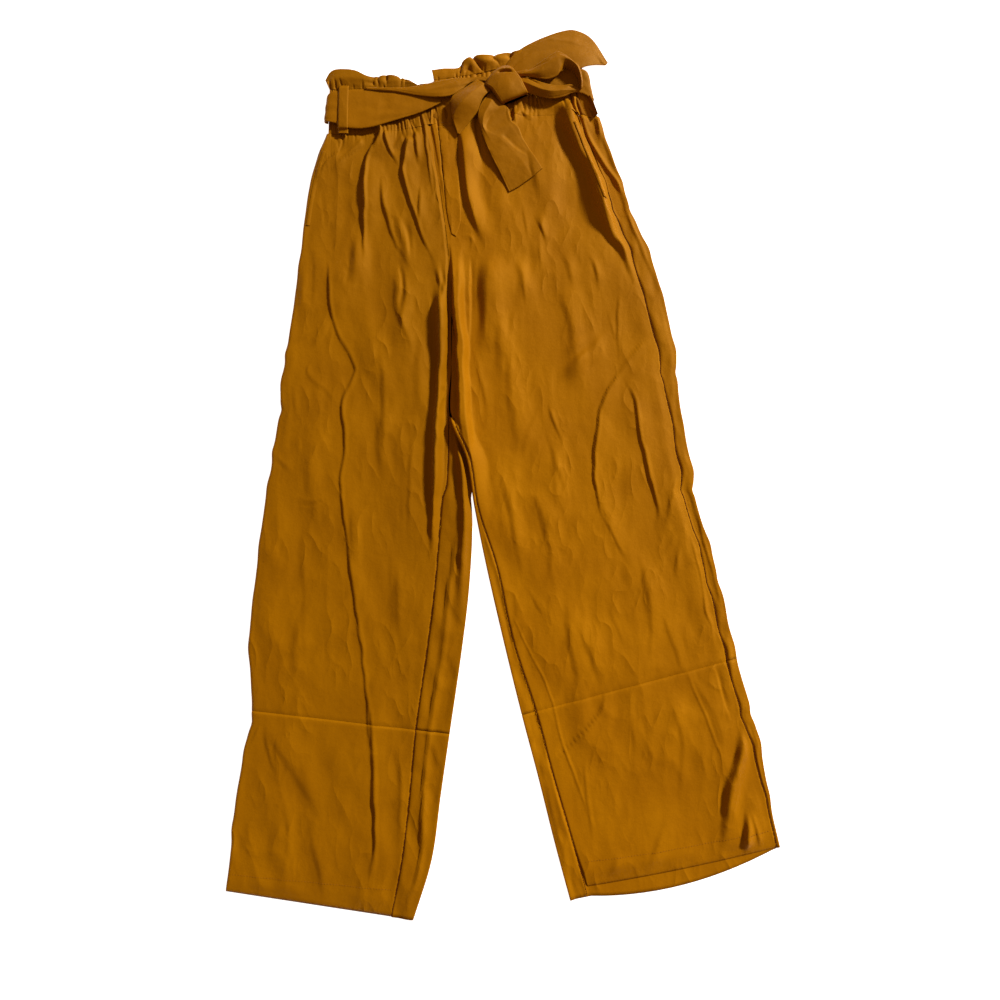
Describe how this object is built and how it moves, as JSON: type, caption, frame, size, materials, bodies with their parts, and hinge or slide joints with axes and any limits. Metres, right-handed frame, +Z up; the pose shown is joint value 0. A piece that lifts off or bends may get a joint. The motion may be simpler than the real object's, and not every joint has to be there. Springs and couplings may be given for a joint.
{
  "type": "paperbag waist trousers, laid flat",
  "caption": "Wide-leg trousers with a gathered paperbag waist and a tied fabric sash, lying flat on their back with the front up.",
  "frame": {"origin": "middle of the garment's outline, on the surface it lies on", "axes": "+X to the wearer's left, +Y towards the waist along the garment's length, +Z up out of the front"},
  "size_m": [0.651, 1.1114, 0.0262],
  "materials": {
    "cloth": "smooth ochre viscose plain weave, low sheen",
    "sash_cloth": "the same ochre cloth, sewn double",
    "sewing": "matching thread"
  },
  "bodies": {
    "root": {"front_right_upper": "cloth", "front_left_upper": "cloth", "front_right_shin": "cloth", "front_left_shin": "cloth", "back_right_upper": "cloth", "back_left_upper": "cloth", "back_right_shin": "cloth", "back_left_shin": "cloth", "casing_front_right": "cloth", "casing_front_left": "cloth", "casing_back": "cloth", "ruffle_front_right": "cloth", "ruffle_front_left": "cloth", "ruffle_back": "cloth", "fly_lap": "cloth", "pocket_mouth_right": "cloth", "pocket_mouth_left": "cloth", "belt_loop_front_right": "cloth", "belt_loop_back_right": "cloth", "belt_loop_back_left": "cloth", "sash_back": "sash_cloth", "sash_front_right": "sash_cloth", "sash_flap_right": "sash_cloth", "sash_front_left": "sash_cloth", "knot": "sash_cloth", "bow_loop_low": "sash_cloth", "bow_loop_upper_limb": "sash_cloth", "bow_loop_lower_limb": "sash_cloth", "tail_up": "sash_cloth", "tail_down": "sash_cloth"}
  },
  "joints": []
}
